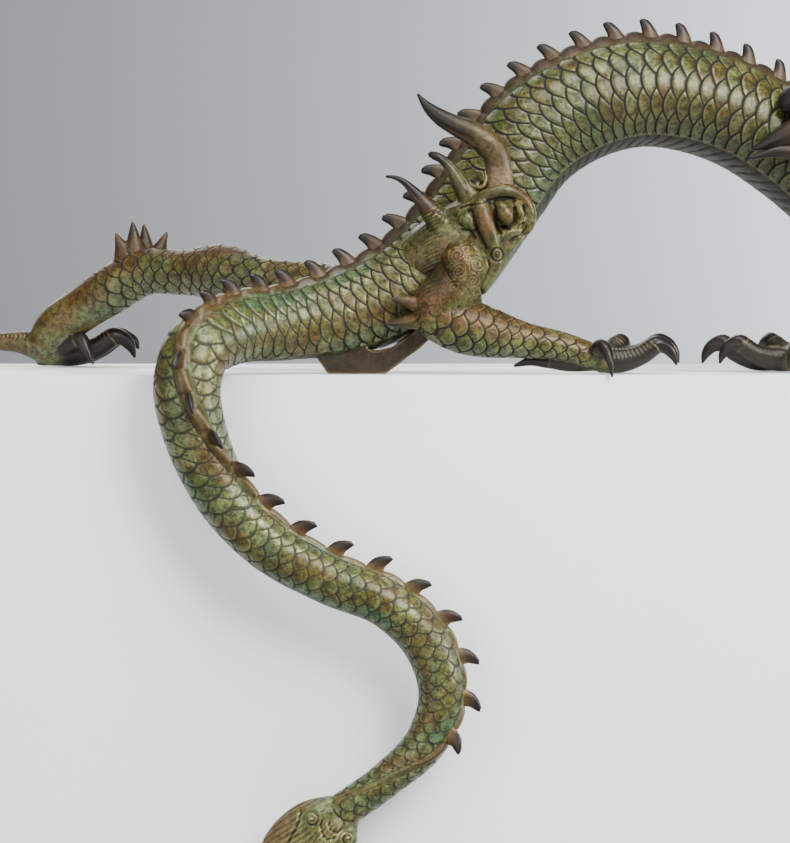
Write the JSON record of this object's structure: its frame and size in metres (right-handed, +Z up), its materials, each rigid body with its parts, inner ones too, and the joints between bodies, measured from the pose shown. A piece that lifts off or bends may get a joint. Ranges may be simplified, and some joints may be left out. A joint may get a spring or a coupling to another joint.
{
  "type": "dragon sculpture",
  "caption": "Cast bronze oriental dragon with scaled arching body, spined back and clawed feet, draped over the front edge of a plain white box plinth.",
  "frame": {"origin": "middle of the footprint, on the floor under the plinth", "axes": "+X to the viewer's right along the plinth's front, +Y to the back, +Z up; the dragon's tail hangs at the front, -Y, and its head is towards +X"},
  "size_m": [1.1868, 0.5156, 0.9166],
  "materials": {
    "bronze": "green-brown patina over cast bronze, waxed, dark claws",
    "painted_board": "smooth matt white paint"
  },
  "bodies": {
    "root": {"dragon": "bronze", "plinth": "painted_board"}
  },
  "joints": []
}
